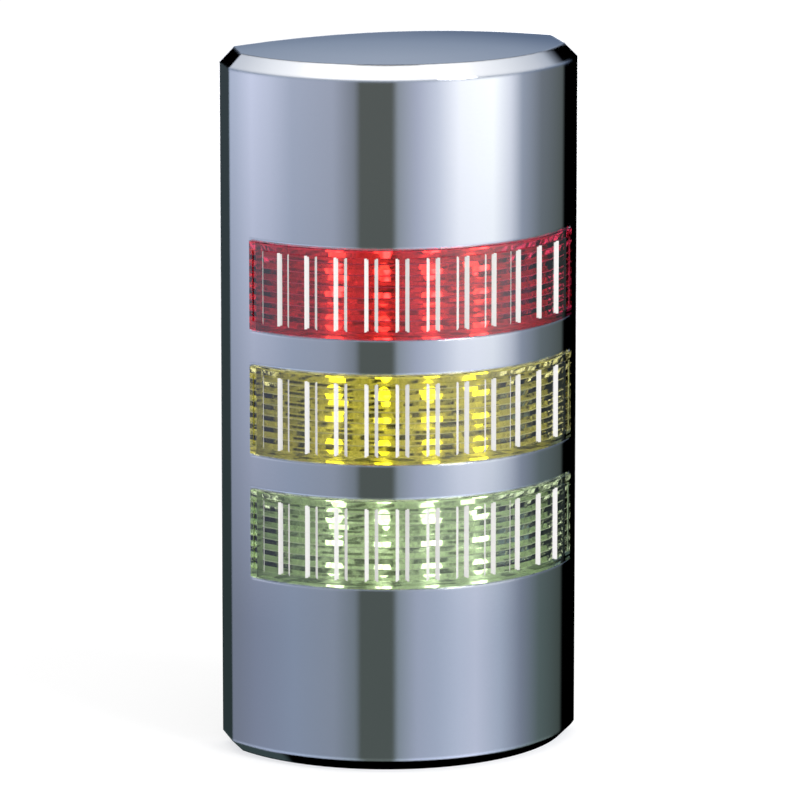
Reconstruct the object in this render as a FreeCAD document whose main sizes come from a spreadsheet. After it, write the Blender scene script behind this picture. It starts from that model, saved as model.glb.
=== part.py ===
import FreeCAD, Part
import math
import os
import Sketcher

# Wall-mounted stack light with three tiers.
# A half-round plated shell holds three ribbed lenses. It closes over a flat rear base that
# carries the circuit boards, the lamp trays and the threaded inserts that the wall screws enter.
# Frame: the wall is the plane Y = 0 and the front faces -Y, X runs to the right and Z up.
# The origin is on the wall, midway between the two threaded inserts.

doc = FreeCAD.newDocument("StackLight")
sizes = doc.addObject("Spreadsheet::Sheet", "Sizes")

# Millimetres and degrees. Heights are measured from the foot of the shell.
DIMENSIONS = [
    ("foot_level", -79.8, "height of the foot in the frame of the part"),
    ("body_wide", 80.0, "width of the shell"),
    ("body_tall", 161.8, "height of the shell at the top of its dome"),
    ("dome_rise", 2.5, "rise of the domed top above its rim"),
    ("face_radius", 43.4, "radius of the round front"),
    ("axis_back", 5.8, "how far the axis of the round front lies behind the wall plane"),
    ("shell_thick", 2.5, "wall of the shell"),
    ("cavity_high", 156.5, "top of the straight part of the shell's inside"),
    ("dome_inner", 36.0, "radius of the hollow under the dome"),
    ("top_chamfer", 3.0, "chamfer round the top"),
    ("foot_chamfer", 2.6, "chamfer round the foot"),
    ("corner_round", 1.0, "rounding between the round front and each flat side"),
    ("fit_gap", 0.1, "clearance between pieces that slide together"),
    ("tier_low", 52.2, "centre of the lowest window"),
    ("tier_pitch", 28.2, "distance from one window to the next"),
    ("tier_count", 3, "number of windows"),
    ("window_tall", 20.0, "height of a window"),
    ("window_swing", 57.6, "half the angle that a window spans"),
    ("seal_thick", 0.8, "thickness of a lens seal"),
    ("flange_thick", 1.5, "thickness of the flange behind the window"),
    ("flange_lip", 2.2, "how far the flange reaches past the window"),
    ("flange_swing", 60.9, "half the angle that the flange spans"),
    ("lens_swing", 57.4, "half the angle that the lens spans in its window"),
    ("panel_proud", 0.2, "height of the lens face between its ribs above the shell's face"),
    ("frame_proud", 0.5, "height of the lens frame above the shell's face"),
    ("frame_tall", 1.8, "height of the smooth strip along the top of a lens"),
    ("frame_low", 1.9, "height of the smooth strip along the bottom of a lens"),
    ("panel_swing", 56.2, "half the angle of the ribbed field"),
    ("rib_count", 12, "upright ribs on a lens"),
    ("rib_pitch", 8.9, "angle from rib to rib"),
    ("rib_top", 3.85, "width of a rib across its top"),
    ("rib_spread", 0.9, "how far each flank of a rib spreads from its top to its root"),
    ("rib_proud", 0.9, "height of a rib above the shell's face"),
    ("rib_root", 0.2, "how far a rib runs into the lens behind it"),
    ("prism_count", 7, "level prisms inside a lens"),
    ("prism_pitch", 2.55, "distance from prism to prism"),
    ("prism_deep", 0.5, "depth of a prism"),
    ("prism_wide", 2.3, "width of a prism"),
    ("prism_root", 0.3, "how far a prism runs into the lens in front of it"),
    ("gasket_thick", 1.0, "thickness of the wall gasket"),
    ("gasket_inset", 0.8, "how far the gasket stays inside the shell's outline"),
    ("base_thick", 3.0, "thickness of the rear base"),
    ("base_step", 1.4, "width of the step that holds the base seal"),
    ("step_deep", 1.2, "depth of that step"),
    ("screw_row", 11.8, "height of the lower row of shell screws and insert"),
    ("row_rise", 136.0, "distance between the two rows"),
    ("cover_screw_side", 27.0, "shell screws to the left and right of the middle"),
    ("cover_boss_radius", 3.5, "radius of a screw boss in the shell"),
    ("cover_boss_long", 21.0, "length of a screw boss in the shell"),
    ("insert_radius", 2.8, "radius of a threaded insert"),
    ("insert_long", 7.0, "length of a threaded insert"),
    ("thread_radius", 1.65, "bore of a threaded insert for an M4 screw"),
    ("insert_boss_radius", 4.2, "radius of the boss round a threaded insert"),
    ("cable_level", 24.0, "height of the cable hole"),
    ("cable_hole", 6.0, "radius of the cable hole in the rear base"),
    ("cable_bore", 3.0, "radius of the bore in the grommet"),
    ("grommet_flange", 7.3, "radius of the flanges of the grommet"),
    ("post_side", 29.0, "tray posts to the left and right of the middle"),
    ("post_radius", 2.8, "radius of a tray post"),
    ("post_tall", 6.4, "height of a tray post"),
    ("board_thick", 1.6, "thickness of a circuit board"),
    ("led_board_wide", 64.0, "width of an LED board"),
    ("led_board_tall", 20.0, "height of an LED board"),
    ("tray_wall", 1.2, "wall of a lamp tray"),
    ("tray_tall", 23.2, "height of a lamp tray"),
    ("lamp_pitch", 10.8, "distance between lamp columns"),
    ("lamp_rise", 6.0, "distance between lamp rows"),
    ("lamp_columns", 4, "lamps across a tier"),
    ("lamp_rows", 3, "lamps up a tier"),
    ("lamp_radius", 1.5, "radius of a lamp"),
    ("lamp_foot", 1.9, "radius of the foot of a lamp"),
    ("lamp_tall", 5.0, "height of a lamp"),
    ("driver_wide", 46.0, "width of the driver board"),
    ("driver_low", 30.0, "lower edge of the driver board"),
    ("driver_tall", 105.0, "height of the driver board"),
    ("standoff_side", 19.0, "driver board screws to the left and right of the middle"),
    ("standoff_inset", 6.0, "driver board screws from its upper and lower edges"),
    ("standoff_tall", 2.5, "height of a driver board standoff"),
    ("standoff_radius", 2.6, "radius of a driver board standoff"),
    ("pole_count", 6, "poles of the terminal block"),
    ("pole_pitch", 5.0, "distance from pole to pole"),
    ("terminal_tall", 6.8, "height of the terminal block"),
    ("terminal_deep", 9.9, "depth of the terminal block"),
    ("terminal_screw_radius", 1.4, "radius of a terminal screw"),
    ("terminal_screw_long", 3.0, "length of a terminal screw"),
    ("cover_screw_radius", 1.5, "radius of a shell screw"),
    ("cover_screw_long", 11.0, "length of a shell screw"),
    ("cover_head_radius", 2.7, "radius of the head of a shell screw"),
    ("head_sink", 1.6, "depth of the recess for the head of a shell screw"),
    ("small_screw_radius", 1.1, "radius of a board screw"),
    ("small_screw_long", 7.0, "length of a tray screw"),
    ("small_head_radius", 2.0, "radius of the head of a board screw"),
    ("small_head_tall", 1.3, "height of the head of a board screw"),
    ("header_wide", 10.0, "width of a pin header"),
    ("header_tall", 2.5, "height of a pin header"),
    ("chip_side", 13.0, "driver chips to the left of the middle"),
    ("chip_wide", 4.0, "width of a driver chip"),
    ("chip_long", 10.0, "length of a driver chip"),
    ("chip_thick", 1.7, "thickness of a driver chip"),
    ("capacitor_level", 125.5, "height of the capacitors"),
    ("capacitor_pitch", 18.0, "distance between the capacitors"),
    ("capacitor_radius", 4.0, "radius of a capacitor"),
    ("capacitor_tall", 10.0, "height of a capacitor"),
]
for row, (name, value, note) in enumerate(DIMENSIONS, start=1):
    sizes.set("A%d" % row, name)
    sizes.set("B%d" % row, "%g" % value)
    sizes.set("C%d" % row, note)
    sizes.setAlias("B%d" % row, name)
doc.recompute()

# Places that several pieces share, worked out from the sheet.
RIM = "(Sizes.body_tall - Sizes.dome_rise)"
SHELL_INNER = "(Sizes.face_radius - Sizes.shell_thick)"
FLANGE_OUTER = "(%s - Sizes.seal_thick)" % SHELL_INNER
FLANGE_INNER = "(%s - Sizes.flange_thick)" % FLANGE_OUTER
FLANGE_HALF = "(Sizes.window_tall / 2 + Sizes.flange_lip)"
BASE_FRONT = "(Sizes.gasket_thick + Sizes.base_thick)"
POST_TOP = "(%s + Sizes.post_tall)" % BASE_FRONT
TRAY_BACK = "(%s + Sizes.board_thick)" % POST_TOP
DRIVER_BACK = "(%s + Sizes.standoff_tall)" % BASE_FRONT
DRIVER_FRONT = "(%s + Sizes.board_thick)" % DRIVER_BACK
DOME_RADIUS = "(((Sizes.face_radius - Sizes.top_chamfer)^2 + Sizes.dome_rise^2) / (2 * Sizes.dome_rise))"


def new_body(label, across, forward, height):
    """A body whose origin lies `forward` of the wall and `height` above the foot."""
    body = doc.addObject("PartDesign::Body", label)
    body.Label = label
    body.AllowCompound = True
    body.setExpression("Placement.Base.x", across)
    body.setExpression("Placement.Base.y", "-(%s)" % forward)
    body.setExpression("Placement.Base.z", "Sizes.foot_level + %s" % height)
    return body


def origin_feature(body, role):
    return next(item for item in body.Origin.OriginFeatures if item.Role == role)


def new_sketch(body, name, role, offset="0"):
    sketch = body.newObject("Sketcher::SketchObject", name)
    sketch.AttachmentSupport = [(origin_feature(body, role), "")]
    sketch.MapMode = "FlatFace"
    sketch.setExpression("AttachmentOffset.Base.z", offset)
    return sketch


def pin(sketch, geometry, end, place):
    """Hold one point of the geometry at a place given by two formulas."""
    for kind, formula in zip(("DistanceX", "DistanceY"), place):
        value = sketch.evalExpression(formula)
        index = sketch.addConstraint(Sketcher.Constraint(kind, -1, 1, geometry, end, value))
        sketch.setExpression("Constraints[%d]" % index, formula)


def set_radius(sketch, geometry, formula):
    value = sketch.evalExpression(formula)
    index = sketch.addConstraint(Sketcher.Constraint("Radius", geometry, value))
    sketch.setExpression("Constraints[%d]" % index, formula)


def polygon(sketch, corners):
    first = sketch.GeometryCount
    count = len(corners)
    points = [FreeCAD.Vector(sketch.evalExpression(x), sketch.evalExpression(y), 0) for x, y in corners]
    for index in range(count):
        sketch.addGeometry(Part.LineSegment(points[index], points[(index + 1) % count]), False)
    for index in range(count):
        following = first + (index + 1) % count
        sketch.addConstraint(Sketcher.Constraint("Coincident", first + index, 2, following, 1))
    for index, corner in enumerate(corners):
        pin(sketch, first + index, 1, corner)


def rectangle(sketch, left, low, right, high):
    polygon(sketch, [(left, low), (right, low), (right, high), (left, high)])


def circle(sketch, across, up, radius):
    index = sketch.GeometryCount
    centre = FreeCAD.Vector(sketch.evalExpression(across), sketch.evalExpression(up), 0)
    round_one = Part.Circle(centre, FreeCAD.Vector(0, 0, 1), sketch.evalExpression(radius))
    sketch.addGeometry(round_one, False)
    pin(sketch, index, 3, (across, up))
    set_radius(sketch, index, radius)


def front_arc(sketch, radius, half_angle):
    """An arc about the sketch's origin that bulges towards -Y, from its left end to its right end."""
    centre = FreeCAD.Vector(0, 0, 0)
    whole = Part.Circle(centre, FreeCAD.Vector(0, 0, 1), sketch.evalExpression(radius))
    middle = -math.pi / 2
    sketch.addGeometry(Part.ArcOfCircle(whole, middle - half_angle, middle + half_angle), False)
    pin(sketch, 0, 3, ("0", "0"))
    set_radius(sketch, 0, radius)


def round_front_outline(sketch, radius, half_width, rear):
    """The round front about the sketch's origin, two flat sides and a straight rear edge."""
    reach = sketch.evalExpression(radius)
    side = sketch.evalExpression(half_width)
    back = sketch.evalExpression(rear)
    shoulder = -math.sqrt(reach**2 - side**2)
    front_arc(sketch, radius, math.asin(side / reach))
    corners = [(side, shoulder), (side, back), (-side, back), (-side, shoulder)]
    points = [FreeCAD.Vector(x, y, 0) for x, y in corners]
    for start, end in zip(points, points[1:]):
        sketch.addGeometry(Part.LineSegment(start, end), False)
    for line, following in ((0, 1), (1, 2), (2, 3)):
        sketch.addConstraint(Sketcher.Constraint("Coincident", line, 2, following, 1))
    sketch.addConstraint(Sketcher.Constraint("Coincident", 3, 2, 0, 1))
    sketch.addConstraint(Sketcher.Constraint("Vertical", 1))
    sketch.addConstraint(Sketcher.Constraint("Vertical", 3))
    pin(sketch, 2, 1, (half_width, rear))
    pin(sketch, 2, 2, ("-%s" % half_width, rear))


def segment_outline(sketch, radius, chord_up):
    """An arc about the sketch's origin that bulges towards -Y, closed by a straight chord."""
    reach = sketch.evalExpression(radius)
    chord = sketch.evalExpression(chord_up)
    half_angle = math.acos(-chord / reach)
    side = reach * math.sin(half_angle)
    front_arc(sketch, radius, half_angle)
    ends = FreeCAD.Vector(side, chord, 0), FreeCAD.Vector(-side, chord, 0)
    sketch.addGeometry(Part.LineSegment(*ends), False)
    sketch.addConstraint(Sketcher.Constraint("Coincident", 0, 2, 1, 1))
    sketch.addConstraint(Sketcher.Constraint("Coincident", 1, 2, 0, 1))
    sketch.addConstraint(Sketcher.Constraint("Horizontal", 1))
    index = sketch.addConstraint(Sketcher.Constraint("DistanceY", -1, 1, 1, 1, chord))
    sketch.setExpression("Constraints[%d]" % index, chord_up)


def dome_outline(sketch, apex, radius, reach, corners):
    """A flat arc from the top of the axis out to `reach`, closed through the corners."""
    top = sketch.evalExpression(apex)
    bend = sketch.evalExpression(radius)
    out = sketch.evalExpression(reach)
    sweep = math.asin(out / bend)
    whole = Part.Circle(FreeCAD.Vector(0, top - bend, 0), FreeCAD.Vector(0, 0, 1), bend)
    sketch.addGeometry(Part.ArcOfCircle(whole, math.pi / 2, math.pi / 2 + sweep), False)
    points = [FreeCAD.Vector(-out, top - bend + bend * math.cos(sweep), 0)]
    points += [FreeCAD.Vector(sketch.evalExpression(x), sketch.evalExpression(y), 0) for x, y in corners]
    points.append(FreeCAD.Vector(0, top, 0))
    for start, end in zip(points, points[1:]):
        sketch.addGeometry(Part.LineSegment(start, end), False)
    last = len(corners) + 1
    for line in range(last):
        sketch.addConstraint(Sketcher.Constraint("Coincident", line, 2, line + 1, 1))
    sketch.addConstraint(Sketcher.Constraint("Coincident", last, 2, 0, 1))
    sketch.addConstraint(Sketcher.Constraint("PointOnObject", 0, 1, -2))
    pin(sketch, 0, 3, ("0", "%s - %s" % (apex, radius)))
    set_radius(sketch, 0, radius)
    index = sketch.addConstraint(Sketcher.Constraint("DistanceX", -1, 1, 0, 2, -out))
    sketch.setExpression("Constraints[%d]" % index, "-" + reach)
    for line, corner in enumerate(corners, start=1):
        pin(sketch, line, 2, corner)


def pad(body, sketch, name, length):
    feature = body.newObject("PartDesign::Pad", name)
    feature.Profile = sketch
    feature.setExpression("Length", length)
    doc.recompute()
    return feature


def checked_cut(body, feature):
    """A cut that meets no material would pass unseen, so the volume has to fall."""
    before = feature.BaseFeature.Shape.Volume
    doc.recompute()
    if not feature.Shape.Volume < before - 1e-6:
        raise ValueError("%s cuts nothing from %s" % (feature.Name, body.Label))
    return feature


def pocket(body, sketch, name, depth, forward=False):
    """A cut from the sketch's plane against its normal, or along it when `forward` is set."""
    feature = body.newObject("PartDesign::Pocket", name)
    feature.Profile = sketch
    feature.Reversed = forward
    feature.setExpression("Length", depth)
    return checked_cut(body, feature)


def revolution(body, sketch, name, angle="360"):
    feature = body.newObject("PartDesign::Revolution", name)
    feature.Profile = sketch
    feature.ReferenceAxis = (sketch, ["V_Axis"])
    feature.Midplane = True
    feature.setExpression("Angle", angle)
    doc.recompute()
    return feature


def groove(body, sketch, name, angle="360"):
    feature = body.newObject("PartDesign::Groove", name)
    feature.Profile = sketch
    feature.ReferenceAxis = (sketch, ["V_Axis"])
    feature.Midplane = True
    feature.setExpression("Angle", angle)
    return checked_cut(body, feature)


def set_grid(body, pattern, columns, column_pitch, rows, row_pitch):
    """Spread a pattern to the right along X and upwards along Z."""
    pattern.Direction = (origin_feature(body, "X_Axis"), [""])
    pattern.Direction2 = (origin_feature(body, "Z_Axis"), [""])
    pattern.setExpression("Length", "max(%s * (%s - 1); 0.01)" % (column_pitch, columns))
    pattern.setExpression("Occurrences", columns)
    pattern.setExpression("Length2", "max(%s * (%s - 1); 0.01)" % (row_pitch, rows))
    pattern.setExpression("Occurrences2", rows)
    body.Tip = pattern
    doc.recompute()


def grid(body, feature, name, columns="1", column_pitch="1", rows="1", row_pitch="1"):
    """Repeat one feature of this body."""
    pattern = body.newObject("PartDesign::LinearPattern", name)
    pattern.Originals = [feature]
    set_grid(body, pattern, columns, column_pitch, rows, row_pitch)


def whole_grid(body, name, columns="1", column_pitch="1", rows="1", row_pitch="1"):
    """Repeat everything made so far in this body as separate solids."""
    pattern = body.newObject("PartDesign::LinearPattern", name)
    pattern.TransformMode = "Whole shape"
    set_grid(body, pattern, columns, column_pitch, rows, row_pitch)


def turned(body, name, profile):
    """A piece turned about the Y axis from (radius, forward) corners."""
    sketch = new_sketch(body, name + "Profile", "XY_Plane")
    polygon(sketch, [(radius, "-(%s)" % forward) for radius, forward in profile])
    return revolution(body, sketch, name + "Turned")


def edges_where(shape, test):
    return ["Edge%d" % (i + 1) for i, edge in enumerate(shape.Edges) if test(edge)]


def tier_height(tier):
    return "(Sizes.tier_low + %d * Sizes.tier_pitch)" % tier


def front_cover():
    """The one-piece plated shell: round front, chamfered rims, domed top, three windows."""
    body = new_body("front_cover", "0", "-Sizes.axis_back", "0")
    outline = new_sketch(body, "CoverOutline", "XY_Plane")
    rear = "-(Sizes.axis_back + Sizes.gasket_thick)"
    round_front_outline(outline, "Sizes.face_radius", "Sizes.body_wide / 2", rear)
    block = pad(body, outline, "CoverBlock", "Sizes.body_tall + 1")

    half = body.evalExpression("Sizes.body_wide / 2")
    shoulder = -math.sqrt(body.evalExpression("Sizes.face_radius") ** 2 - half**2)

    def joins_front_and_side(edge):
        box = edge.BoundBox
        return box.ZLength > 1 and abs(abs(box.XMin) - half) < 0.01 and abs(box.YMin - shoulder) < 0.01

    corners = body.newObject("PartDesign::Fillet", "CoverCorners")
    corners.Base = (block, edges_where(block.Shape, joins_front_and_side))
    corners.setExpression("Radius", "Sizes.corner_round")
    doc.recompute()

    # Above this profile nothing is left: the dome, then the chamfer that runs round its rim.
    top = new_sketch(body, "DomeAndRim", "YZ_Plane")
    far = "-(Sizes.face_radius + 2)"
    above_all = "Sizes.body_tall + 2"
    dome_outline(top, "Sizes.body_tall", DOME_RADIUS, "(Sizes.face_radius - Sizes.top_chamfer)", [
        (far, "%s - Sizes.top_chamfer - 2" % RIM),
        (far, above_all),
        ("0", above_all),
    ])
    groove(body, top, "DomeCut")

    foot = new_sketch(body, "FootRim", "YZ_Plane")
    polygon(foot, [
        ("-(Sizes.face_radius - Sizes.foot_chamfer - 1)", "-1"),
        (far, "-1"),
        (far, "Sizes.foot_chamfer + 2"),
    ])
    groove(body, foot, "FootCut")

    sides = new_sketch(body, "SideRims", "XZ_Plane", "Sizes.axis_back")
    for sign in ("", "-"):
        outside = sign + "(Sizes.body_wide / 2 + 2)"
        above = sign + "(Sizes.body_wide / 2 - Sizes.top_chamfer - 2)"
        below = sign + "(Sizes.body_wide / 2 - Sizes.foot_chamfer - 1)"
        polygon(sides, [
            (outside, RIM + " - Sizes.top_chamfer - 2"),
            (outside, RIM + " + 2"),
            (above, RIM + " + 2"),
        ])
        polygon(sides, [(outside, "Sizes.foot_chamfer + 2"), (outside, "-1"), (below, "-1")])
    pocket(body, sides, "SideRimCuts", "Sizes.body_wide", forward=True)

    # The inside follows the outside, and a shallow hollow under the dome keeps the wall even.
    inside = new_sketch(body, "Inside", "XY_Plane", "Sizes.shell_thick")
    inner_half = "(Sizes.body_wide / 2 - Sizes.shell_thick)"
    round_front_outline(inside, SHELL_INNER, inner_half, "-Sizes.axis_back")
    pocket(body, inside, "InsideCut", "Sizes.cavity_high - Sizes.shell_thick", forward=True)
    hollow = new_sketch(body, "DomeHollow", "YZ_Plane")
    hollow_floor = "Sizes.cavity_high - 1"
    inner_radius = "(%s - Sizes.shell_thick)" % DOME_RADIUS
    dome_outline(hollow, "(Sizes.body_tall - Sizes.shell_thick)", inner_radius, "Sizes.dome_inner", [
        ("-Sizes.dome_inner", hollow_floor),
        ("0", hollow_floor),
    ])
    groove(body, hollow, "DomeHollowCut", "2 * Sizes.flange_swing")

    window = new_sketch(body, "Window", "YZ_Plane")
    reach = "-(Sizes.face_radius + 1)"
    behind = "-(%s - 1)" % SHELL_INNER
    low = "Sizes.tier_low - Sizes.window_tall / 2"
    high = "Sizes.tier_low + Sizes.window_tall / 2"
    rectangle(window, reach, low, behind, high)
    first = groove(body, window, "LowestWindow", "2 * Sizes.window_swing")
    grid(body, first, "Windows", rows="Sizes.tier_count", row_pitch="Sizes.tier_pitch")

    # Four bosses reach forward from the rear base to the inside of the round front.
    boss_start = "(Sizes.axis_back + %s)" % BASE_FRONT
    side = "Sizes.cover_screw_side"
    for name, height in (("Lower", "Sizes.screw_row"), ("Upper", "(Sizes.screw_row + Sizes.row_rise)")):
        bosses = new_sketch(body, name + "Bosses", "XZ_Plane", boss_start)
        for across in ("-" + side, side):
            circle(bosses, across, height, "Sizes.cover_boss_radius")
        pad(body, bosses, name + "BossPads", "Sizes.cover_boss_long")
        pilots = new_sketch(body, name + "Pilots", "XZ_Plane", boss_start)
        for across in ("-" + side, side):
            circle(pilots, across, height, "Sizes.cover_screw_radius")
        pocket(body, pilots, name + "PilotHoles", "Sizes.cover_screw_long", forward=True)
    return body


def lens(colour, tier):
    """A lens behind its window: flange, framed ribbed face outside, level prisms inside."""
    body = new_body("lens_" + colour, "0", "-Sizes.axis_back", tier_height(tier))
    face = "(Sizes.face_radius + Sizes.frame_proud)"
    field = "(Sizes.face_radius + Sizes.panel_proud)"
    half = "(Sizes.window_tall / 2 - Sizes.fit_gap)"

    flange = new_sketch(body, "Flange_" + colour, "YZ_Plane")
    rectangle(flange, "-" + FLANGE_OUTER, "-" + FLANGE_HALF, "-" + FLANGE_INNER, FLANGE_HALF)
    revolution(body, flange, "FlangeRing_" + colour, "2 * Sizes.flange_swing")
    front = new_sketch(body, "Front_" + colour, "YZ_Plane")
    rectangle(front, "-" + face, "-" + half, "-(%s - 1)" % FLANGE_OUTER, half)
    revolution(body, front, "FrontRing_" + colour, "2 * Sizes.lens_swing")
    panel = new_sketch(body, "Panel_" + colour, "YZ_Plane")
    field_low = "-(%s - Sizes.frame_low)" % half
    field_high = "(%s - Sizes.frame_tall)" % half
    rectangle(panel, "-(%s + 2)" % face, field_low, "-" + field, field_high)
    groove(body, panel, "PanelCut_" + colour, "2 * Sizes.panel_swing")

    rib = new_sketch(body, "Rib_" + colour, "XY_Plane", "%s - Sizes.rib_root" % field_low)
    rib.setExpression("AttachmentOffset.Rotation.Angle", "-Sizes.rib_pitch * (Sizes.rib_count - 1) / 2")
    crest = "(Sizes.face_radius + Sizes.rib_proud)"
    rib_foot = "-(%s - Sizes.rib_root)" % field
    polygon(rib, [
        ("-(Sizes.rib_top / 2 + Sizes.rib_spread)", rib_foot),
        ("-Sizes.rib_top / 2", "-" + crest),
        ("Sizes.rib_top / 2", "-" + crest),
        ("Sizes.rib_top / 2 + Sizes.rib_spread", rib_foot),
    ])
    first = pad(body, rib, "FirstRib_" + colour, "%s - %s + 2 * Sizes.rib_root" % (field_high, field_low))
    ribs = body.newObject("PartDesign::PolarPattern", "Ribs_" + colour)
    ribs.Originals = [first]
    ribs.Axis = (origin_feature(body, "Z_Axis"), [""])
    ribs.setExpression("Angle", "Sizes.rib_pitch * (Sizes.rib_count - 1)")
    ribs.setExpression("Occurrences", "Sizes.rib_count")
    body.Tip = ribs
    doc.recompute()

    prism = new_sketch(body, "Prism_" + colour, "YZ_Plane")
    lowest = "-Sizes.prism_pitch * (Sizes.prism_count - 1) / 2"
    root = "-(%s + Sizes.prism_root)" % FLANGE_INNER
    polygon(prism, [
        (root, lowest + " - Sizes.prism_wide / 2"),
        (root, lowest + " + Sizes.prism_wide / 2"),
        ("-" + FLANGE_INNER, lowest + " + Sizes.prism_wide / 2"),
        ("-(%s - Sizes.prism_deep)" % FLANGE_INNER, lowest),
        ("-" + FLANGE_INNER, lowest + " - Sizes.prism_wide / 2"),
    ])
    first = revolution(body, prism, "LowestPrism_" + colour, "2 * Sizes.panel_swing")
    grid(body, first, "Prisms_" + colour, rows="Sizes.prism_count", row_pitch="Sizes.prism_pitch")


def lens_seal(colour, tier):
    """A soft frame between the lens flange and the inside of the shell."""
    body = new_body("lens_seal_" + colour, "0", "-Sizes.axis_back", tier_height(tier))
    ring = new_sketch(body, "SealRing_" + colour, "YZ_Plane")
    rectangle(ring, "-" + SHELL_INNER, "-" + FLANGE_HALF, "-" + FLANGE_OUTER, FLANGE_HALF)
    revolution(body, ring, "SealBand_" + colour, "2 * Sizes.flange_swing")
    opening = new_sketch(body, "SealOpening_" + colour, "YZ_Plane")
    half = "Sizes.window_tall / 2"
    rectangle(opening, "-(%s + 1)" % SHELL_INNER, "-" + half, "-(%s - 1)" % FLANGE_OUTER, half)
    groove(body, opening, "SealOpeningCut_" + colour, "2 * Sizes.window_swing")


def reflector(colour, tier):
    """A bright tray that keeps the light of its tier apart and presses the lens on its seal."""
    body = new_body("reflector_" + colour, "0", "-Sizes.axis_back", tier_height(tier))
    reach = "(%s - Sizes.fit_gap)" % FLANGE_INNER
    back = "(Sizes.axis_back + %s)" % TRAY_BACK
    floor = "(%s + Sizes.tray_wall)" % back
    outline = new_sketch(body, "Tray_" + colour, "XY_Plane", "-Sizes.tray_tall / 2")
    segment_outline(outline, reach, "-" + back)
    pad(body, outline, "TrayBlock_" + colour, "Sizes.tray_tall")
    inside_half = "(Sizes.tray_tall / 2 - Sizes.tray_wall)"
    inside = new_sketch(body, "TrayInside_" + colour, "XY_Plane", "-" + inside_half)
    rectangle(inside, "-Sizes.face_radius", "-Sizes.face_radius", "Sizes.face_radius", "-" + floor)
    pocket(body, inside, "TrayCut_" + colour, "2 * " + inside_half, forward=True)

    lamp_hole = new_sketch(body, "LampHole_" + colour, "XZ_Plane", back)
    left = "-Sizes.lamp_pitch * (Sizes.lamp_columns - 1) / 2"
    low = "-Sizes.lamp_rise * (Sizes.lamp_rows - 1) / 2"
    circle(lamp_hole, left, low, "Sizes.lamp_foot + Sizes.fit_gap")
    first = pocket(body, lamp_hole, "FirstLampHole_" + colour, "Sizes.tray_wall", forward=True)
    grid(body, first, "LampHoles_" + colour, "Sizes.lamp_columns", "Sizes.lamp_pitch",
         "Sizes.lamp_rows", "Sizes.lamp_rise")
    holes = new_sketch(body, "TrayScrewHoles_" + colour, "XZ_Plane", back)
    for across in ("-Sizes.post_side", "Sizes.post_side"):
        circle(holes, across, "0", "Sizes.small_screw_radius + Sizes.fit_gap")
    pocket(body, holes, "TrayScrewCut_" + colour, "Sizes.tray_wall", forward=True)


def led_board(colour, tier):
    """The circuit board of one tier, held between the tray and two posts."""
    body = new_body("led_board_" + colour, "0", POST_TOP, tier_height(tier))
    outline = new_sketch(body, "LedBoard_" + colour, "XZ_Plane")
    wide = "Sizes.led_board_wide / 2"
    tall = "Sizes.led_board_tall / 2"
    rectangle(outline, "-" + wide, "-" + tall, wide, tall)
    for across in ("-Sizes.post_side", "Sizes.post_side"):
        circle(outline, across, "0", "Sizes.small_screw_radius + Sizes.fit_gap")
    pad(body, outline, "LedBoardPlate_" + colour, "Sizes.board_thick")


def led_lamps(colour, tier):
    """Round-topped lamps in columns on the LED board."""
    left = "-Sizes.lamp_pitch * (Sizes.lamp_columns - 1) / 2"
    low = "Sizes.lamp_rise * (Sizes.lamp_rows - 1) / 2"
    body = new_body("led_lamps_" + colour, left, TRAY_BACK, "%s - %s" % (tier_height(tier), low))
    lamp = turned(body, "Lamp_" + colour, [
        ("0", "0"),
        ("Sizes.lamp_foot", "0"),
        ("Sizes.lamp_foot", "Sizes.tray_wall"),
        ("Sizes.lamp_radius", "Sizes.tray_wall"),
        ("Sizes.lamp_radius", "Sizes.lamp_tall"),
        ("0", "Sizes.lamp_tall"),
    ])
    front = -body.evalExpression("Sizes.lamp_tall")
    tip = body.newObject("PartDesign::Fillet", "LampTip_" + colour)
    tip.Base = (lamp, edges_where(lamp.Shape, lambda edge: edge.BoundBox.YMax < front + 0.01))
    tip.setExpression("Radius", "Sizes.lamp_radius - 0.1")
    doc.recompute()
    whole_grid(body, "LampGrid_" + colour, "Sizes.lamp_columns", "Sizes.lamp_pitch",
               "Sizes.lamp_rows", "Sizes.lamp_rise")


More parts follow.
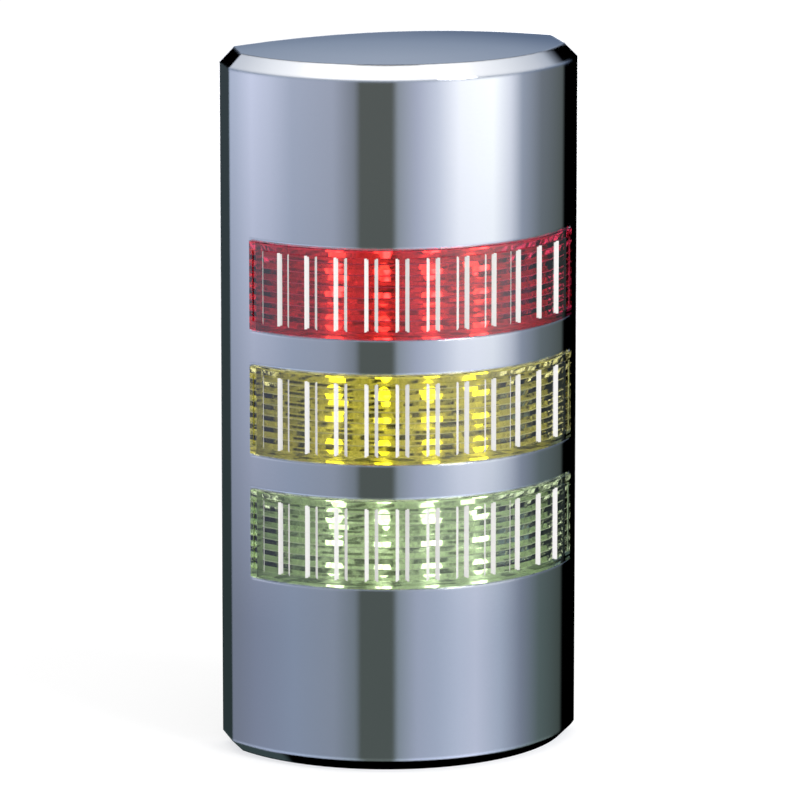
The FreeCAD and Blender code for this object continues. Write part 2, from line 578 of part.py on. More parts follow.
def rear_base():
    """The flat moulded base: posts, standoffs, insert bosses, screw holes and the cable hole."""
    body = new_body("rear_base", "0", "0", "0")
    side = "(Sizes.body_wide / 2 - Sizes.shell_thick - Sizes.fit_gap)"
    low = "(Sizes.shell_thick + Sizes.fit_gap)"
    high = "(Sizes.cavity_high - Sizes.fit_gap)"
    plate = new_sketch(body, "BasePlate", "XZ_Plane", "Sizes.gasket_thick")
    rectangle(plate, "-" + side, low, side, high)
    circle(plate, "0", "Sizes.cable_level", "Sizes.cable_hole")
    pad(body, plate, "BasePlatePad", "Sizes.base_thick")

    step = new_sketch(body, "SealStep", "XZ_Plane", BASE_FRONT)
    outer = "(%s + 1)" % side
    rectangle(step, "-" + outer, low + " - 1", outer, high + " + 1")
    inner = "(%s - Sizes.base_step)" % side
    rectangle(step, "-" + inner, low + " + Sizes.base_step", inner, high + " - Sizes.base_step")
    pocket(body, step, "SealStepCut", "Sizes.step_deep")

    upper_row = "(Sizes.screw_row + Sizes.row_rise)"
    posts = new_sketch(body, "TrayPosts", "XZ_Plane", BASE_FRONT)
    pilots = new_sketch(body, "TrayPostPilots", "XZ_Plane", POST_TOP)
    for across in ("-Sizes.post_side", "Sizes.post_side"):
        circle(posts, across, tier_height(0), "Sizes.post_radius")
        circle(pilots, across, tier_height(0), "Sizes.small_screw_radius")
    lowest = pad(body, posts, "LowestPosts", "Sizes.post_tall")
    grid(body, lowest, "PostRows", rows="Sizes.tier_count", row_pitch="Sizes.tier_pitch")
    lowest = pocket(body, pilots, "LowestPilots", "Sizes.small_screw_long")
    grid(body, lowest, "PilotRows", rows="Sizes.tier_count", row_pitch="Sizes.tier_pitch")

    standoffs = new_sketch(body, "Standoffs", "XZ_Plane", BASE_FRONT)
    sockets = new_sketch(body, "StandoffPilots", "XZ_Plane", DRIVER_BACK)
    for across in ("-Sizes.standoff_side", "Sizes.standoff_side"):
        for height in ("Sizes.driver_low + Sizes.standoff_inset",
                       "Sizes.driver_low + Sizes.driver_tall - Sizes.standoff_inset"):
            circle(standoffs, across, height, "Sizes.standoff_radius")
            circle(sockets, across, height, "Sizes.small_screw_radius")
    pad(body, standoffs, "StandoffPads", "Sizes.standoff_tall")
    pocket(body, sockets, "StandoffHoles", "Sizes.small_screw_long - Sizes.board_thick")

    bosses = new_sketch(body, "InsertBosses", "XZ_Plane", BASE_FRONT)
    seats = new_sketch(body, "InsertSeats", "XZ_Plane", "Sizes.gasket_thick")
    for height in ("Sizes.screw_row", upper_row):
        circle(bosses, "0", height, "Sizes.insert_boss_radius")
        circle(seats, "0", height, "Sizes.insert_radius")
    pad(body, bosses, "InsertBossPads", "Sizes.insert_long - Sizes.base_thick + 1.5")
    pocket(body, seats, "InsertSeatCuts", "Sizes.insert_long + 0.2", forward=True)

    through = new_sketch(body, "CoverScrewHoles", "XZ_Plane", "Sizes.gasket_thick")
    heads = new_sketch(body, "CoverScrewHeads", "XZ_Plane", "Sizes.gasket_thick")
    for across in ("-Sizes.cover_screw_side", "Sizes.cover_screw_side"):
        for height in ("Sizes.screw_row", upper_row):
            circle(through, across, height, "Sizes.cover_screw_radius + 2 * Sizes.fit_gap")
            circle(heads, across, height, "Sizes.cover_head_radius + 3 * Sizes.fit_gap")
    pocket(body, through, "CoverScrewCut", "Sizes.base_thick", forward=True)
    pocket(body, heads, "CoverHeadCut", "Sizes.head_sink", forward=True)


def base_seal():
    """The soft cord frame in the step of the rear base, against the inside of the shell."""
    body = new_body("base_seal", "0", "%s - Sizes.step_deep" % BASE_FRONT, "0")
    side = "(Sizes.body_wide / 2 - Sizes.shell_thick)"
    inner = "(%s - Sizes.fit_gap - Sizes.base_step)" % side
    ring = new_sketch(body, "SealFrame", "XZ_Plane")
    rectangle(ring, "-" + side, "Sizes.shell_thick", side, "Sizes.cavity_high")
    step = " Sizes.fit_gap + Sizes.base_step"
    rectangle(ring, "-" + inner, "Sizes.shell_thick +" + step, inner, "Sizes.cavity_high - (%s)" % step)
    pad(body, ring, "SealFramePad", "Sizes.step_deep")


def wall_gasket():
    """The flat rubber sheet between the device and the wall."""
    body = new_body("wall_gasket", "0", "0", "0")
    sheet = new_sketch(body, "GasketSheet", "XZ_Plane")
    side = "(Sizes.body_wide / 2 - Sizes.gasket_inset)"
    low = "Sizes.gasket_inset"
    high = "(%s - Sizes.gasket_inset)" % RIM
    polygon(sheet, [
        ("-(%s - Sizes.foot_chamfer)" % side, low),
        (side + " - Sizes.foot_chamfer", low),
        (side, low + " + Sizes.foot_chamfer"),
        (side, high + " - Sizes.top_chamfer"),
        (side + " - Sizes.top_chamfer", high),
        ("-(%s - Sizes.top_chamfer)" % side, high),
        ("-" + side, high + " - Sizes.top_chamfer"),
        ("-" + side, low + " + Sizes.foot_chamfer"),
    ])
    circle(sheet, "0", "Sizes.cable_level", "Sizes.grommet_flange")
    for height in ("Sizes.screw_row", "(Sizes.screw_row + Sizes.row_rise)"):
        circle(sheet, "0", height, "Sizes.insert_radius")
        for across in ("-Sizes.cover_screw_side", "Sizes.cover_screw_side"):
            circle(sheet, across, height, "Sizes.cover_head_radius + 3 * Sizes.fit_gap")
    pad(body, sheet, "GasketPad", "Sizes.gasket_thick")


def cable_grommet():
    """The rubber bush that the supply cable passes through."""
    body = new_body("cable_grommet", "0", "0", "Sizes.cable_level")
    front = "(%s + Sizes.gasket_thick)" % BASE_FRONT
    turned(body, "Grommet", [
        ("Sizes.cable_bore", "0"),
        ("Sizes.grommet_flange", "0"),
        ("Sizes.grommet_flange", "Sizes.gasket_thick"),
        ("Sizes.cable_hole", "Sizes.gasket_thick"),
        ("Sizes.cable_hole", BASE_FRONT),
        ("Sizes.grommet_flange", BASE_FRONT),
        ("Sizes.grommet_flange - 0.6", front),
        ("Sizes.cable_bore", front),
    ])


def wall_inserts():
    """Two brass inserts that the screws from the wall side enter."""
    body = new_body("wall_inserts", "0", "Sizes.gasket_thick", "Sizes.screw_row")
    turned(body, "Insert", [
        ("Sizes.thread_radius", "0"),
        ("Sizes.insert_radius", "0"),
        ("Sizes.insert_radius", "Sizes.insert_long"),
        ("Sizes.thread_radius", "Sizes.insert_long"),
    ])
    whole_grid(body, "InsertPair", rows="2", row_pitch="Sizes.row_rise")


def screws(label, place, radii, lengths, columns, rows, from_rear=False):
    """A grid of pan-head screws with a cross recess, each with its head resting at `place`."""
    body = new_body(label, *place)
    shank_radius, head_radius = radii
    shank_long, head_tall = lengths
    head_way, shank_way = ("-", "") if from_rear else ("", "-")
    head_end = "%s(%s)" % (head_way, head_tall)
    turned(body, label, [
        ("0", head_end),
        (head_radius, head_end),
        (head_radius, "0"),
        (shank_radius, "0"),
        (shank_radius, "%s(%s)" % (shank_way, shank_long)),
        ("0", "%s(%s)" % (shank_way, shank_long)),
    ])
    recess = new_sketch(body, label + "Recess", "XZ_Plane", head_end)
    arm = "(%s * 0.6)" % head_radius
    half = "(%s * 0.14)" % head_radius
    polygon(recess, [
        ("-" + half, "-" + arm), (half, "-" + arm), (half, "-" + half), (arm, "-" + half),
        (arm, half), (half, half), (half, arm), ("-" + half, arm),
        ("-" + half, half), ("-" + arm, half), ("-" + arm, "-" + half), ("-" + half, "-" + half),
    ])
    pocket(body, recess, label + "RecessCut", "%s * 0.6" % head_tall, forward=from_rear)
    whole_grid(body, label + "Grid", columns[0], columns[1], rows[0], rows[1])


def driver_board():
    """The board with the supply and the lamp drivers, on four standoffs."""
    body = new_body("driver_board", "0", DRIVER_BACK, "Sizes.driver_low")
    outline = new_sketch(body, "DriverBoard", "XZ_Plane")
    rectangle(outline, "-Sizes.driver_wide / 2", "0", "Sizes.driver_wide / 2", "Sizes.driver_tall")
    for across in ("-Sizes.standoff_side", "Sizes.standoff_side"):
        for height in ("Sizes.standoff_inset", "Sizes.driver_tall - Sizes.standoff_inset"):
            circle(outline, across, height, "Sizes.small_screw_radius + Sizes.fit_gap")
    pad(body, outline, "DriverBoardPlate", "Sizes.board_thick")


def board_headers():
    """Three pin headers that plug the LED boards into the driver board."""
    body = new_body("board_headers", "0", DRIVER_FRONT, tier_height(0))
    outline = new_sketch(body, "Header", "XZ_Plane")
    rectangle(outline, "-Sizes.header_wide / 2", "-Sizes.header_tall / 2",
              "Sizes.header_wide / 2", "Sizes.header_tall / 2")
    pad(body, outline, "HeaderPad", "%s - %s" % (POST_TOP, DRIVER_FRONT))
    whole_grid(body, "HeaderColumn", rows="Sizes.tier_count", row_pitch="Sizes.tier_pitch")


def driver_chips():
    """One driver chip beside each header."""
    body = new_body("driver_chips", "-Sizes.chip_side", DRIVER_FRONT, tier_height(0))
    outline = new_sketch(body, "Chip", "XZ_Plane")
    rectangle(outline, "-Sizes.chip_wide / 2", "-Sizes.chip_long / 2",
              "Sizes.chip_wide / 2", "Sizes.chip_long / 2")
    pad(body, outline, "ChipPad", "Sizes.chip_thick")
    whole_grid(body, "ChipColumn", rows="Sizes.tier_count", row_pitch="Sizes.tier_pitch")


def capacitors():
    """Two upright capacitors above the top tray."""
    body = new_body("capacitors", "-Sizes.capacitor_pitch / 2", DRIVER_FRONT, "Sizes.capacitor_level")
    turned(body, "Capacitor", [
        ("0", "0"),
        ("Sizes.capacitor_radius", "0"),
        ("Sizes.capacitor_radius", "Sizes.capacitor_tall"),
        ("0", "Sizes.capacitor_tall"),
    ])
    whole_grid(body, "CapacitorPair", "2", "Sizes.capacitor_pitch")


def terminal_block():
    """The screw terminals for the supply cable, at the lower edge of the driver board."""
    height = "Sizes.driver_low + Sizes.terminal_tall / 2 + 0.5"
    first_pole = "-Sizes.pole_pitch * (Sizes.pole_count - 1) / 2"
    block = new_body("terminal_block", "0", DRIVER_FRONT, height)
    outline = new_sketch(block, "TerminalOutline", "XZ_Plane")
    half_wide = "(Sizes.pole_pitch * Sizes.pole_count / 2)"
    half_tall = "(Sizes.terminal_tall / 2)"
    rectangle(outline, "-" + half_wide, "-" + half_tall, half_wide, half_tall)
    pad(block, outline, "TerminalPad", "Sizes.terminal_deep")
    wells = new_sketch(block, "ScrewWell", "XZ_Plane", "Sizes.terminal_deep")
    circle(wells, first_pole, "0", "Sizes.terminal_screw_radius + Sizes.fit_gap")
    first = pocket(block, wells, "FirstWell", "Sizes.terminal_screw_long + 1")
    grid(block, first, "Wells", "Sizes.pole_count", "Sizes.pole_pitch")
    mouths = new_sketch(block, "WireMouth", "XY_Plane", "-Sizes.terminal_tall / 2")
    rectangle(mouths, first_pole + " - 1.5", "-4.5", first_pole + " + 1.5", "-1.5")
    first = pocket(block, mouths, "FirstMouth", "Sizes.terminal_tall * 0.6", forward=True)
    grid(block, first, "Mouths", "Sizes.pole_count", "Sizes.pole_pitch")

    sunk = "%s + Sizes.terminal_deep - Sizes.terminal_screw_long - 1" % DRIVER_FRONT
    screw = new_body("terminal_screws", first_pole, sunk, height)
    turned(screw, "TerminalScrew", [
        ("0", "0"),
        ("Sizes.terminal_screw_radius", "0"),
        ("Sizes.terminal_screw_radius", "Sizes.terminal_screw_long"),
        ("0", "Sizes.terminal_screw_long"),
    ])
    slot = new_sketch(screw, "TerminalSlot", "XZ_Plane", "Sizes.terminal_screw_long")
    rectangle(slot, "-Sizes.terminal_screw_radius * 2", "-0.2", "Sizes.terminal_screw_radius * 2", "0.2")
    pocket(screw, slot, "TerminalSlotCut", "0.6")
    whole_grid(screw, "TerminalScrewRow", "Sizes.pole_count", "Sizes.pole_pitch")


front_cover()
for tier, colour in enumerate(("green", "yellow", "red")):
    lens(colour, tier)
    lens_seal(colour, tier)
    reflector(colour, tier)
    led_board(colour, tier)
    led_lamps(colour, tier)
rear_base()
base_seal()
wall_gasket()
cable_grommet()
wall_inserts()
driver_board()
board_headers()
driver_chips()
capacitors()
terminal_block()
screws(
    "cover_screws",
    ("-Sizes.cover_screw_side", "Sizes.gasket_thick + Sizes.head_sink", "Sizes.screw_row"),
    ("Sizes.cover_screw_radius", "Sizes.cover_head_radius"),
    ("Sizes.cover_screw_long", "Sizes.head_sink - 2 * Sizes.fit_gap"),
    ("2", "2 * Sizes.cover_screw_side"),
    ("2", "Sizes.row_rise"),
    from_rear=True,
)
screws(
    "tray_screws",
    ("-Sizes.post_side", "%s + Sizes.tray_wall" % TRAY_BACK, tier_height(0)),
    ("Sizes.small_screw_radius", "Sizes.small_head_radius"),
    ("Sizes.small_screw_long", "Sizes.small_head_tall"),
    ("2", "2 * Sizes.post_side"),
    ("Sizes.tier_count", "Sizes.tier_pitch"),
)
screws(
    "driver_board_screws",
    ("-Sizes.standoff_side", DRIVER_FRONT, "Sizes.driver_low + Sizes.standoff_inset"),
    ("Sizes.small_screw_radius", "Sizes.small_head_radius"),
    ("Sizes.small_screw_long - Sizes.board_thick", "Sizes.small_head_tall"),
    ("2", "2 * Sizes.standoff_side"),
    ("2", "Sizes.driver_tall - 2 * Sizes.standoff_inset"),
)

doc.recompute()
for item in doc.Objects:
    if "Invalid" in item.State or "Error" in item.State:
        raise ValueError("%s did not compute" % item.Name)
pieces = [item for item in doc.Objects if item.TypeId == "PartDesign::Body"]
for piece in pieces:
    if piece.Shape.isNull() or not piece.Shape.isValid():
        raise ValueError("%s has no valid shape" % piece.Label)
os.makedirs("parts", exist_ok=True)
for piece in pieces:
    piece.Shape.exportStep("parts/%s.step" % piece.Label)
print("%d pieces written" % len(pieces))
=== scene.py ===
import math

import bpy
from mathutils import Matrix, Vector


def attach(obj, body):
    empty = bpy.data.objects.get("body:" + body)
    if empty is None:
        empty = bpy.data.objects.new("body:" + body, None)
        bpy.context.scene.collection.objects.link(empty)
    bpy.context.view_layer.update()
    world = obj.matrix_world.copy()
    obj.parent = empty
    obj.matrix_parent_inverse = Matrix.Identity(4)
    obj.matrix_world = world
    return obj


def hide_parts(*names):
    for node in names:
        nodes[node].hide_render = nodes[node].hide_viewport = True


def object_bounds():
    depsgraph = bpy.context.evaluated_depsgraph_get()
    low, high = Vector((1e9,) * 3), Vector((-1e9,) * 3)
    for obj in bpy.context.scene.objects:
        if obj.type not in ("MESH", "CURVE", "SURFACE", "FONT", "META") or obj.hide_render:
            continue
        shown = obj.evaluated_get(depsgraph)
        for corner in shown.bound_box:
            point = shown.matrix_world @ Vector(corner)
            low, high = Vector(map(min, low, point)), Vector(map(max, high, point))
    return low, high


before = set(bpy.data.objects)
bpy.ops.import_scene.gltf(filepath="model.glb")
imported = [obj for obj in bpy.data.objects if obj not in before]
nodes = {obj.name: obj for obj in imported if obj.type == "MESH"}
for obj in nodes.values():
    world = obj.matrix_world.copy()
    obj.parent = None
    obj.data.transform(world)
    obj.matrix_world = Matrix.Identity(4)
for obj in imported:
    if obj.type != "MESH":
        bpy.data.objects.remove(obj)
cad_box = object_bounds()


# FRONT COVER. The one-piece half-round shell with its domed top, moulded in ABS and then
# plated with bright chrome. The plating copies the mould, so the mirror is only slightly
# uneven, and handling leaves a faint haze on it.

def add(tree, kind, inputs=(), **settings):
    """A shader node with its settings and inputs; an input that is a socket is linked."""
    made = tree.nodes.new("ShaderNode" + kind)
    for name, value in settings.items():
        setattr(made, name, value)
    for name, value in dict(inputs).items():
        if isinstance(value, bpy.types.NodeSocket):
            tree.links.new(value, made.inputs[name])
        else:
            made.inputs[name].default_value = value
    return made


def new_finish(name):
    """An empty material and the Object coordinates that its patterns lie on."""
    finish = bpy.data.materials.new(name)
    finish.use_nodes = True
    finish.node_tree.nodes.clear()
    return finish, finish.node_tree, add(finish.node_tree, "TexCoord").outputs["Object"]


def close_finish(tree, shader):
    """The shader put out as the surface of the material."""
    add(tree, "OutputMaterial", {"Surface": shader.outputs[0]})


def surface_group():
    """Patches and grain for every moulded or plated skin: Mask in 0..1, and a Height in metres."""
    group = bpy.data.node_groups.new("Moulded skin", "ShaderNodeTree")
    wanted = (("Vector", "NodeSocketVector", None), ("Patch scale", "NodeSocketFloat", 40.0),
              ("Grain scale", "NodeSocketFloat", 900.0), ("Grain share", "NodeSocketFloat", 0.3))
    for name, kind, value in wanted:
        socket = group.interface.new_socket(name, in_out="INPUT", socket_type=kind)
        if value is not None:
            socket.default_value = value
    for name in ("Mask", "Height"):
        group.interface.new_socket(name, in_out="OUTPUT", socket_type="NodeSocketFloat")
    given = group.nodes.new("NodeGroupInput").outputs
    patch = add(group, "TexNoise", {
        "Vector": given["Vector"], "Scale": given["Patch scale"], "Detail": 3.0})
    grain = add(group, "TexNoise", {
        "Vector": given["Vector"], "Scale": given["Grain scale"], "Detail": 2.0})
    both = add(group, "Mix", {
        0: given["Grain share"], 2: patch.outputs["Fac"], 3: grain.outputs["Fac"]})
    result = group.nodes.new("NodeGroupOutput")
    group.links.new(both.outputs[0], result.inputs["Mask"])
    group.links.new(both.outputs[0], result.inputs["Height"])
    return group


skin_group = surface_group()


def skin(tree, place, patch, grain, share):
    """The moulded skin at its own scales of patch and grain."""
    made = add(tree, "Group", node_tree=skin_group)
    tree.links.new(place, made.inputs["Vector"])
    made.inputs["Patch scale"].default_value = patch
    made.inputs["Grain scale"].default_value = grain
    made.inputs["Grain share"].default_value = share
    return made


def fade(tree, value, low, high, start=0.0, end=1.0):
    """A value that runs from start to end while the given one runs from low to high."""
    return add(tree, "MapRange", {"Value": value, "From Min": low, "From Max": high,
                                  "To Min": start, "To Max": end}).outputs[0]


def spread(tree, mask, low, high):
    """The mask stretched to run from low to high."""
    return fade(tree, mask, 0.3, 0.7, low, high)


def blend(tree, amount, first, second, way="MIX"):
    """The first colour where the amount is 0 and the second where it is 1."""
    return add(tree, "Mix", {0: amount, 6: first, 7: second},
               data_type="RGBA", blend_type=way).outputs[2]


def two_colours(tree, mask, first, second):
    """The mask as a blend of two plain colours."""
    return blend(tree, mask, (*first, 1.0), (*second, 1.0))


def raised(tree, mask, strength, distance):
    """The normal of a surface that rises and falls with the mask."""
    return add(tree, "Bump", {"Height": mask.outputs["Height"], "Strength": strength,
                              "Distance": distance}).outputs["Normal"]


def dress(name, finish):
    """Give a CAD node its finish."""
    slots = nodes[name].material_slots
    for slot in slots:
        slot.material = finish
    if not slots:
        nodes[name].data.materials.append(finish)


edge_radius = 0.0011

chrome, tree, place = new_finish("Chrome plating")
haze = skin(tree, place, 35.0, 1400.0, 0.25)
soft_edge = add(tree, "Bevel", {"Radius": edge_radius}, samples=6)
bump = add(tree, "Bump", {"Height": haze.outputs["Height"], "Strength": 0.02, "Distance": 0.0002,
                          "Normal": soft_edge.outputs["Normal"]})
close_finish(tree, add(tree, "BsdfPrincipled", {
    "Base Color": two_colours(tree, haze.outputs["Mask"], (0.82, 0.84, 0.87), (0.88, 0.89, 0.91)),
    "Metallic": 1.0,
    "Roughness": spread(tree, haze.outputs["Mask"], 0.035, 0.06),
    "Normal": bump.outputs["Normal"],
}))
dress("front_cover", chrome)


# LENSES. Three clear injection-moulded polycarbonate bands, tinted red, yellow and green,
# with broad upright ribs outside and level prisms inside. The flanks of the ribs and the thin
# lands between the prisms carry a pale white painted highlight that stays the same at every angle.

axis_back = 0.0058
field_radius = 0.0435
field_reach = math.radians(55.9)
prism_field_half = 0.0088
flank_lean = (0.5, 0.88)
land_lean = -0.95
level_lean = 0.1
weld_distance = 0.000002
smooth_angle = math.radians(20.0)
tier_middle = {"red": 0.0288, "yellow": 0.0006, "green": -0.0276}
lens_tints = {
    "red": (0.90, 0.035, 0.11),
    "yellow": (1.0, 0.95, 0.36),
    "green": (0.80, 0.98, 0.56),
}


def is_painted_highlight(face, middle):
    """True for the flanks of the upright ribs and for the lands between the level prisms, which
    carry the painted highlight.
    """
    across, ahead = face.center.x, face.center.y - axis_back
    reach = math.hypot(across, ahead)
    outward = (face.normal.x * across + face.normal.y * ahead) / reach
    if abs(math.atan2(across, -ahead)) > field_reach or abs(face.normal.z) > level_lean:
        return False
    flank = reach > field_radius and flank_lean[0] < outward < flank_lean[1]
    land = outward < land_lean and abs(face.center.z - middle) < prism_field_half
    return flank or land


for colour, tint in lens_tints.items():
    cad_lens = nodes["lens_" + colour]
    lens = bpy.data.objects.new("ribbed_lens_" + colour, cad_lens.data.copy())
    bpy.context.scene.collection.objects.link(lens)
    bpy.ops.object.select_all(action="DESELECT")
    lens.select_set(True)
    bpy.context.view_layer.objects.active = lens
    bpy.ops.object.mode_set(mode="EDIT")
    bpy.ops.mesh.select_all(action="SELECT")
    bpy.ops.mesh.remove_doubles(threshold=weld_distance)
    bpy.ops.mesh.customdata_custom_splitnormals_clear()
    bpy.ops.mesh.select_mode(type="FACE")
    bpy.ops.mesh.select_all(action="DESELECT")
    bpy.ops.object.mode_set(mode="OBJECT")
    bpy.ops.object.shade_smooth_by_angle(angle=smooth_angle)

    finish, tree, place = new_finish("Clear lens " + colour)
    flow = skin(tree, place, 60.0, 1500.0, 0.2)
    darker = tuple(0.92 * part for part in tint)
    close_finish(tree, add(tree, "BsdfPrincipled", {
        "Base Color": two_colours(tree, flow.outputs["Mask"], darker, tint),
        "Transmission Weight": 1.0,
        "IOR": 1.58,
        "Coat Weight": 1.0,
        "Coat IOR": 1.7,
        "Coat Roughness": 0.08,
        "Roughness": spread(tree, flow.outputs["Mask"], 0.03, 0.06),
        "Normal": raised(tree, flow, 0.03, 0.0002),
    }))
    lens.data.materials.clear()
    lens.data.materials.append(finish)

    # painted highlight: a pale white finish on the rib flanks and prism lands
    finish, tree, place = new_finish("Lens edge painted highlight " + colour)
    highlight_grain = skin(tree, place, 200.0, 3000.0, 0.6)
    close_finish(tree, add(tree, "BsdfPrincipled", {
        "Base Color": two_colours(tree, highlight_grain.outputs["Mask"],
                                  (0.95, 0.93, 0.90), (1.0, 0.99, 0.97)),
        "Roughness": spread(tree, highlight_grain.outputs["Mask"], 0.25, 0.4),
        "Normal": raised(tree, highlight_grain, 0.1, 0.0001),
    }))
    lens.data.materials.append(finish)
    for face in lens.data.polygons:
        face.select = is_painted_highlight(face, tier_middle[colour])
    lens.active_material_index = 1
    bpy.ops.object.mode_set(mode="EDIT")
    bpy.ops.object.material_slot_assign()
    bpy.ops.object.mode_set(mode="OBJECT")
    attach(lens, "root")
    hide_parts("lens_" + colour)


# LAMP TRAYS. Vacuum-metallised plastic trays that throw the light of the lamps forwards. The
# level louvres across them are drawn in the finish alone, with painted shade in the gaps between.

louvre_pitch = 0.00128
louvre_edge = (0.00020, 0.00034)
louvre_gap_shade = {"red": 0.30, "yellow": 0.05, "green": 0.25}


def reckon(tree, operation, first, second):
    """One step of arithmetic on two values."""
    return add(tree, "Math", {0: first, 1: second}, operation=operation).outputs[0]


def above_middle(tree, axes, colour):
    """The height above the middle of the tier."""
    return reckon(tree, "ADD", axes.outputs["Z"], -tier_middle[colour])


for colour in lens_tints:
    silver, tree, place = new_finish("Bright tray " + colour)
    cloud = skin(tree, place, 50.0, 900.0, 0.4)
    tray_axes = add(tree, "SeparateXYZ", {"Vector": place})
    fold = reckon(tree, "PINGPONG", above_middle(tree, tray_axes, colour), louvre_pitch / 2.0)
    louvre = fade(tree, fold, *louvre_edge)
    stretch = add(tree, "Mapping", {"Vector": place, "Scale": (1.0, 1.0, 0.25)})
    breaks = add(tree, "TexNoise", {"Vector": stretch.outputs[0], "Scale": 260.0, "Detail": 1.0})
    broken = fade(tree, breaks.outputs["Fac"], 0.44, 0.54)
    shine = two_colours(tree, cloud.outputs["Mask"], (0.92, 0.92, 0.92), (0.98, 0.98, 0.97))
    # painted shade: the dark grey of the gaps between the louvres
    gap_shade = louvre_gap_shade[colour]
    close_finish(tree, add(tree, "BsdfPrincipled", {
        "Base Color": blend(tree, reckon(tree, "MAXIMUM", louvre, broken),
                            (gap_shade, gap_shade, gap_shade, 1.0), shine),
        "Metallic": 0.2,
        "Roughness": spread(tree, cloud.outputs["Mask"], 0.2, 0.35),
        "Normal": raised(tree, cloud, 0.05, 0.0003),
    }))
    dress("reflector_" + colour, silver)


# LAMPS. Cast-resin lamps in three rows of four on each board. The chip glows in the middle of
# the clear dome of each lamp.

lamp_pitch = 0.0108
lamp_rise = 0.0060
chip_edge = (0.0006, 0.0011)
lamp_tints = {"red": (1.0, 0.86, 0.24), "yellow": (1.0, 0.90, 0.06), "green": (0.95, 1.0, 0.95)}
lamp_glow = {"red": 8.0, "yellow": 5.5, "green": 5.5}

for colour, tint in lamp_tints.items():
    finish, tree, place = new_finish("Cast lamp " + colour)
    swirl = skin(tree, place, 300.0, 2500.0, 0.2)
    lamp_axes = add(tree, "SeparateXYZ", {"Vector": place})
    between = reckon(tree, "PINGPONG", lamp_axes.outputs["X"], lamp_pitch / 2.0)
    sideways = reckon(tree, "SUBTRACT", lamp_pitch / 2.0, between)
    upright = reckon(tree, "PINGPONG", above_middle(tree, lamp_axes, colour), lamp_rise / 2.0)
    off = add(tree, "CombineXYZ", {"X": sideways, "Y": upright})
    away = add(tree, "VectorMath", {0: off.outputs[0]}, operation="LENGTH").outputs["Value"]
    chip = fade(tree, away, *chip_edge, 1.0, 0.0)
    pale = tuple(min(1.0, part + 0.1) for part in tint)
    dim = tuple(0.3 * part for part in tint)
    close_finish(tree, add(tree, "BsdfPrincipled", {
        "Base Color": two_colours(tree, swirl.outputs["Mask"], tint, pale),
        "Roughness": spread(tree, swirl.outputs["Mask"], 0.08, 0.2),
        "Emission Color": two_colours(tree, chip, dim, tint),
        "Emission Strength": lamp_glow[colour],
        "Normal": raised(tree, swirl, 0.05, 0.0001),
    }))
    dress("led_lamps_" + colour, finish)


# RUBBER PARTS. Die-cut and moulded black rubber: the frames behind the lens flanges, the cord
# seal round the rear base, the sheet against the wall and the bush in the cable hole.

def plain_finish(name, first, second, low, high,
                 patch=60.0, grain=1200.0, share=0.4, metal=0.0, rise=0.1):
    """A moulded, painted or metal skin: two close colours, uneven gloss and a fine grain."""
    finish, tree, place = new_finish(name)
    grained = skin(tree, place, patch, grain, share)
    close_finish(tree, add(tree, "BsdfPrincipled", {
        "Base Color": two_colours(tree, grained.outputs["Mask"], first, second),
        "Metallic": metal,
        "Roughness": spread(tree, grained.outputs["Mask"], low, high),
        "Normal": raised(tree, grained, rise, 0.0002),
    }))
    return finish


rubber = plain_finish("Black rubber", (0.012, 0.012, 0.013), (0.025, 0.025, 0.026), 0.55, 0.75,
                      rise=0.2)
for colour in lens_tints:
    dress("lens_seal_" + colour, rubber)
for piece in ("base_seal", "wall_gasket", "cable_grommet"):
    dress(piece, rubber)


# CIRCUIT BOARDS. Glass-fibre boards under green solder mask, one for each tier of lamps and one
# behind them for the supply. The weave of the glass shows as a fine grain in the mask.

solder_mask = plain_finish("Solder mask", (0.02, 0.16, 0.06), (0.03, 0.22, 0.09), 0.3, 0.45,
                           grain=1800.0, share=0.6)
for colour in lens_tints:
    dress("led_board_" + colour, solder_mask)
dress("driver_board", solder_mask)


# REAR BASE. One black moulding with the posts, standoffs and bosses. Its mould was spark-eroded,
# which leaves a fine matt texture all over.

base_plastic = plain_finish("Black base plastic", (0.015, 0.015, 0.017), (0.03, 0.03, 0.032),
                            0.4, 0.6, grain=1500.0, share=0.7, rise=0.25)
dress("rear_base", base_plastic)


# WALL INSERTS. Two turned brass nuts, pressed warm into the bosses of the rear base. The lathe
# leaves rings on them that break up their gloss.

brass = plain_finish("Turned brass", (0.62, 0.43, 0.16), (0.72, 0.52, 0.22), 0.2, 0.4,
                     patch=150.0, grain=2500.0, metal=1.0, rise=0.15)
dress("wall_inserts", brass)


# HEADERS AND CHIPS. Black moulded bodies soldered to the boards: the headers that join the boards
# and the chips that feed the lamps. Their epoxy is slightly grainy.

component = plain_finish("Black component", (0.012, 0.012, 0.014), (0.03, 0.03, 0.033), 0.4, 0.6,
                         patch=200.0, grain=3000.0)
for piece in ("board_headers", "driver_chips"):
    dress(piece, component)


# CAPACITORS. Aluminium cans in a dark blue shrunk sleeve. The sleeve is smooth and glossy, and
# ripples a little where it has shrunk.

sleeve = plain_finish("Capacitor sleeve", (0.02, 0.03, 0.08), (0.03, 0.045, 0.11), 0.2, 0.35,
                      patch=250.0, share=0.2)
dress("capacitors", sleeve)


# TERMINAL BLOCK. A green moulded nylon block on the driver board that takes the supply wires
# from the side.

nylon = plain_finish("Terminal plastic", (0.03, 0.20, 0.06), (0.05, 0.26, 0.09), 0.35, 0.5,
                     patch=120.0)
dress("terminal_block", nylon)


# SCREWS. Zinc-plated steel pan-head screws for the cover, the trays and the driver board, and the
# clamping screws of the terminal block. The zinc is bright with a cloudy bloom.

steel = plain_finish("Zinc-plated steel", (0.52, 0.53, 0.55), (0.66, 0.66, 0.68), 0.25, 0.4,
                     patch=200.0, grain=2500.0, metal=1.0)
for piece in ("cover_screws", "tray_screws", "driver_board_screws", "terminal_screws"):
    dress(piece, steel)


